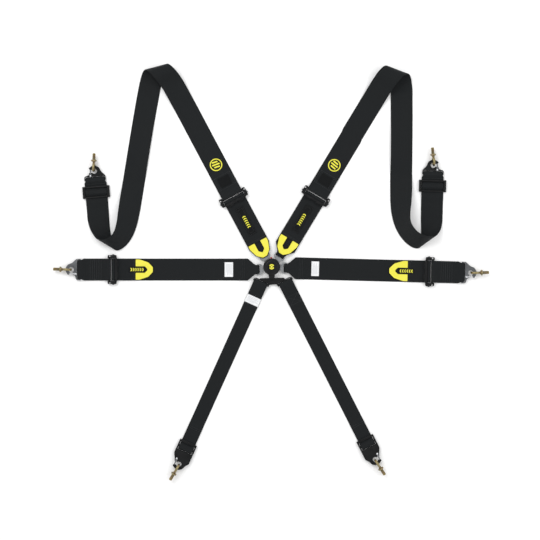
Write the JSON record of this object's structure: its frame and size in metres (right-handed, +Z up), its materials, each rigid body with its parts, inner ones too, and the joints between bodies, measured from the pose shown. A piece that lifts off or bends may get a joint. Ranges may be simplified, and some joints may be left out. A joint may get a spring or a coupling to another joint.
{
  "type": "racing harness",
  "caption": "Racing harness of webbing belts that meet at a rotary cam buckle, with sliding length adjusters, pull loops, and hook plates on eyebolts.",
  "frame": {"origin": "middle of the buckle's flat back face, which lies on the surface the harness is laid out on", "axes": "+X to the right-hand lap belt's end, +Y towards the shoulder belts, +Z up from the surface, out of the buckle's face"},
  "size_m": [1.4961, 1.4283, 0.0595],
  "materials": {
    "black_plastic": "fine-textured black moulding",
    "black_steel": "satin black powder coat",
    "bright_steel": "bright zinc-plated steel, fine brushed",
    "gold_zinc": "yellow passivated zinc plate over steel",
    "grey_steel": "satin dark grey metallic coat",
    "pull_webbing": "bright yellow sewn webbing",
    "red_plastic": "red moulding",
    "webbing": "black polyester herringbone webbing, matt with a faint sheen"
  },
  "bodies": {
    "buckle": {"base_plate": "black_steel", "housing": "black_plastic", "top_cover": "black_steel", "spindle": "bright_steel", "retaining_ring": "bright_steel", "return_spring": "bright_steel", "button_spring": "bright_steel"},
    "knob": {"rotary_knob": "black_plastic", "knob_badge": "black_plastic", "cam_disc": "bright_steel"},
    "button": {"red_button": "red_plastic"},
    "left_shoulder_tongue_body": {"left_shoulder_tongue": "bright_steel", "left_shoulder_lower_belt": "webbing"},
    "left_shoulder_adjuster_body": {"left_shoulder_adjuster": "black_steel", "left_shoulder_upper_belt": "webbing", "left_shoulder_hook_plate": "black_steel", "left_shoulder_slider": "black_steel"},
    "left_shoulder_tail_body": {"left_shoulder_pull_loop": "pull_webbing"},
    "left_shoulder_lock_body": {"left_shoulder_lock_bar": "bright_steel"},
    "left_shoulder_gate_body": {"left_shoulder_gate": "bright_steel"},
    "left_shoulder_eyebolt_body": {"left_shoulder_eyebolt": "gold_zinc"},
    "right_shoulder_tongue_body": {"right_shoulder_tongue": "bright_steel", "right_shoulder_lower_belt": "webbing"},
    "right_shoulder_adjuster_body": {"right_shoulder_adjuster": "black_steel", "right_shoulder_upper_belt": "webbing", "right_shoulder_hook_plate": "black_steel", "right_shoulder_slider": "black_steel"},
    "right_shoulder_tail_body": {"right_shoulder_pull_loop": "pull_webbing"},
    "right_shoulder_lock_body": {"right_shoulder_lock_bar": "bright_steel"},
    "right_shoulder_gate_body": {"right_shoulder_gate": "bright_steel"},
    "right_shoulder_eyebolt_body": {"right_shoulder_eyebolt": "gold_zinc"},
    "left_lap_tongue_body": {"left_lap_tongue": "bright_steel", "left_lap_belt": "webbing"},
    "left_lap_adjuster_body": {"left_lap_adjuster": "black_steel", "left_lap_anchor_strap": "webbing", "left_lap_hook_plate": "grey_steel"},
    "left_lap_tail_body": {"left_lap_pull_loop": "pull_webbing"},
    "left_lap_lock_body": {"left_lap_lock_bar": "bright_steel"},
    "left_lap_gate_body": {"left_lap_gate": "bright_steel"},
    "left_lap_eyebolt_body": {"left_lap_eyebolt": "gold_zinc"},
    "right_lap_tongue_body": {"right_lap_tongue": "bright_steel", "right_lap_belt": "webbing"},
    "right_lap_adjuster_body": {"right_lap_adjuster": "black_steel", "right_lap_anchor_strap": "webbing", "right_lap_hook_plate": "grey_steel"},
    "right_lap_tail_body": {"right_lap_pull_loop": "pull_webbing"},
    "right_lap_lock_body": {"right_lap_lock_bar": "bright_steel"},
    "right_lap_gate_body": {"right_lap_gate": "bright_steel"},
    "right_lap_eyebolt_body": {"right_lap_eyebolt": "gold_zinc"},
    "crotch_body": {"t_bar": "black_steel", "left_crotch_belt": "webbing", "right_crotch_belt": "webbing", "left_crotch_hook_plate": "black_steel", "right_crotch_hook_plate": "black_steel"},
    "left_crotch_gate_body": {"left_crotch_gate": "bright_steel"},
    "left_crotch_eyebolt_body": {"left_crotch_eyebolt": "gold_zinc"},
    "right_crotch_gate_body": {"right_crotch_gate": "bright_steel"},
    "right_crotch_eyebolt_body": {"right_crotch_eyebolt": "gold_zinc"}
  },
  "joints": [
    {"name": "knob_turn", "type": "hinge", "parent": "buckle", "child": "knob", "pos_m": [0, 0, 0.0157], "axis": [0, 0, 1], "range_deg": [-60, 60], "stiffness_Nm_per_rad": 0.15},
    {"name": "button_press", "type": "slide", "parent": "buckle", "child": "button", "axis": [0, -1, 0], "range_m": [0, 0.0014], "stiffness_N_per_m": 300, "springref_m": -0.001, "deforming": ["button_spring"]},
    {"name": "left_shoulder_release", "type": "slide", "parent": "buckle", "child": "left_shoulder_tongue_body", "axis": [-0.471, 0.8821, 0], "range_m": [0, 0.03]},
    {"name": "left_shoulder_length", "type": "slide", "parent": "left_shoulder_tongue_body", "child": "left_shoulder_adjuster_body", "axis": [-0.471, 0.8821, 0], "range_m": [0, 0.11], "deforming": ["left_shoulder_lower_belt"]},
    {"name": "left_shoulder_tail_slide", "type": "slide", "parent": "left_shoulder_adjuster_body", "child": "left_shoulder_tail_body", "axis": [-0.471, 0.8821, 0], "range_m": [0, 0.11]},
    {"name": "left_shoulder_lock_slide", "type": "slide", "parent": "left_shoulder_adjuster_body", "child": "left_shoulder_lock_body", "axis": [0.471, -0.8821, 0], "range_m": [0, 0.002], "stiffness_N_per_m": 400, "springref_m": -0.001},
    {"name": "left_shoulder_gate_swing", "type": "hinge", "parent": "left_shoulder_adjuster_body", "child": "left_shoulder_gate_body", "pos_m": [-0.62297, 0.31265, 0.00815], "axis": [-0.0109, 0.1387, -0.9903], "range_deg": [0, 12], "stiffness_Nm_per_rad": 0.02, "springref_deg": -8.59},
    {"name": "left_shoulder_eyebolt_swing", "type": "hinge", "parent": "left_shoulder_adjuster_body", "child": "left_shoulder_eyebolt_body", "pos_m": [-0.61047, 0.34244, 0.0172], "axis": [0, 0, 1], "range_deg": [-7, 19]},
    {"name": "right_shoulder_release", "type": "slide", "parent": "buckle", "child": "right_shoulder_tongue_body", "axis": [0.515, 0.8572, 0], "range_m": [0, 0.03]},
    {"name": "right_shoulder_length", "type": "slide", "parent": "right_shoulder_tongue_body", "child": "right_shoulder_adjuster_body", "axis": [0.515, 0.8572, 0], "range_m": [0, 0.11], "deforming": ["right_shoulder_lower_belt"]},
    {"name": "right_shoulder_tail_slide", "type": "slide", "parent": "right_shoulder_adjuster_body", "child": "right_shoulder_tail_body", "axis": [0.515, 0.8572, 0], "range_m": [0, 0.11]},
    {"name": "right_shoulder_lock_slide", "type": "slide", "parent": "right_shoulder_adjuster_body", "child": "right_shoulder_lock_body", "axis": [-0.515, -0.8572, 0], "range_m": [0, 0.002], "stiffness_N_per_m": 400, "springref_m": -0.001},
    {"name": "right_shoulder_gate_swing", "type": "hinge", "parent": "right_shoulder_adjuster_body", "child": "right_shoulder_gate_body", "pos_m": [0.56951, 0.33352, 0.00815], "axis": [-0.0032, -0.1391, 0.9903], "range_deg": [0, 12], "stiffness_Nm_per_rad": 0.02, "springref_deg": -8.59},
    {"name": "right_shoulder_eyebolt_swing", "type": "hinge", "parent": "right_shoulder_adjuster_body", "child": "right_shoulder_eyebolt_body", "pos_m": [0.55537, 0.36256, 0.0172], "axis": [0, 0, -1], "range_deg": [-7, 19]},
    {"name": "left_lap_release", "type": "slide", "parent": "buckle", "child": "left_lap_tongue_body", "axis": [-1, 0, 0], "range_m": [0, 0.03]},
    {"name": "left_lap_length", "type": "slide", "parent": "left_lap_tongue_body", "child": "left_lap_adjuster_body", "axis": [-1, 0, 0], "range_m": [-0.1, 0.045], "deforming": ["left_lap_belt"]},
    {"name": "left_lap_tail_slide", "type": "slide", "parent": "left_lap_adjuster_body", "child": "left_lap_tail_body", "axis": [-1, 0, 0], "range_m": [-0.1, 0.045]},
    {"name": "left_lap_lock_slide", "type": "slide", "parent": "left_lap_adjuster_body", "child": "left_lap_lock_body", "axis": [1, 0, 0], "range_m": [0, 0.002], "stiffness_N_per_m": 400, "springref_m": -0.001},
    {"name": "left_lap_gate_swing", "type": "hinge", "parent": "left_lap_adjuster_body", "child": "left_lap_gate_body", "pos_m": [-0.67386, -0.0243, 0.00815], "axis": [-0.1392, 0, -0.9903], "range_deg": [0, 12], "stiffness_Nm_per_rad": 0.02, "springref_deg": -8.59},
    {"name": "left_lap_eyebolt_swing", "type": "hinge", "parent": "left_lap_adjuster_body", "child": "left_lap_eyebolt_body", "pos_m": [-0.70258, -0.0095, 0.0172], "axis": [0, 0, 1], "range_deg": [-11, 15]},
    {"name": "right_lap_release", "type": "slide", "parent": "buckle", "child": "right_lap_tongue_body", "axis": [0.9997, -0.0255, 0], "range_m": [0, 0.03]},
    {"name": "right_lap_length", "type": "slide", "parent": "right_lap_tongue_body", "child": "right_lap_adjuster_body", "axis": [0.9997, -0.0255, 0], "range_m": [-0.1, 0.045], "deforming": ["right_lap_belt"]},
    {"name": "right_lap_tail_slide", "type": "slide", "parent": "right_lap_adjuster_body", "child": "right_lap_tail_body", "axis": [0.9997, -0.0255, 0], "range_m": [-0.1, 0.045]},
    {"name": "right_lap_lock_slide", "type": "slide", "parent": "right_lap_adjuster_body", "child": "right_lap_lock_body", "axis": [-0.9997, 0.0255, 0], "range_m": [0, 0.002], "stiffness_N_per_m": 400, "springref_m": -0.001},
    {"name": "right_lap_gate_swing", "type": "hinge", "parent": "right_lap_adjuster_body", "child": "right_lap_gate_body", "pos_m": [0.6692, -0.03474, 0.00815], "axis": [-0.1391, 0.0035, 0.9903], "range_deg": [0, 12], "stiffness_Nm_per_rad": 0.02, "springref_deg": -8.59},
    {"name": "right_lap_eyebolt_swing", "type": "hinge", "parent": "right_lap_adjuster_body", "child": "right_lap_eyebolt_body", "pos_m": [0.69828, -0.02068, 0.0172], "axis": [0, 0, -1], "range_deg": [-10, 16]},
    {"name": "crotch_release", "type": "slide", "parent": "buckle", "child": "crotch_body", "axis": [0, -1, 0], "range_m": [0, 0.03]},
    {"name": "left_crotch_gate_swing", "type": "hinge", "parent": "crotch_body", "child": "left_crotch_gate_body", "pos_m": [-0.3265, -0.65841, 0.01041], "axis": [0.0223, 0.0493, 0.9985], "range_deg": [0, 12], "stiffness_Nm_per_rad": 0.02, "springref_deg": -8.59},
    {"name": "left_crotch_eyebolt_swing", "type": "hinge", "parent": "crotch_body", "child": "left_crotch_eyebolt_body", "pos_m": [-0.32493, -0.69089, 0.0172], "axis": [0, 0, -1], "range_deg": [-19, 7]},
    {"name": "right_crotch_gate_swing", "type": "hinge", "parent": "crotch_body", "child": "right_crotch_gate_body", "pos_m": [0.36261, -0.64182, 0.01041], "axis": [0.0245, -0.0482, -0.9985], "range_deg": [0, 12], "stiffness_Nm_per_rad": 0.02, "springref_deg": -8.59},
    {"name": "right_crotch_eyebolt_swing", "type": "hinge", "parent": "crotch_body", "child": "right_crotch_eyebolt_body", "pos_m": [0.36251, -0.67434, 0.0172], "axis": [0, 0, 1], "range_deg": [-19, 7]}
  ],
  "couplings": [
    {"joint": "left_shoulder_tail_slide", "follows": "left_shoulder_length", "ratio": 1},
    {"joint": "right_shoulder_tail_slide", "follows": "right_shoulder_length", "ratio": 1},
    {"joint": "left_lap_tail_slide", "follows": "left_lap_length", "ratio": 1},
    {"joint": "right_lap_tail_slide", "follows": "right_lap_length", "ratio": 1}
  ]
}
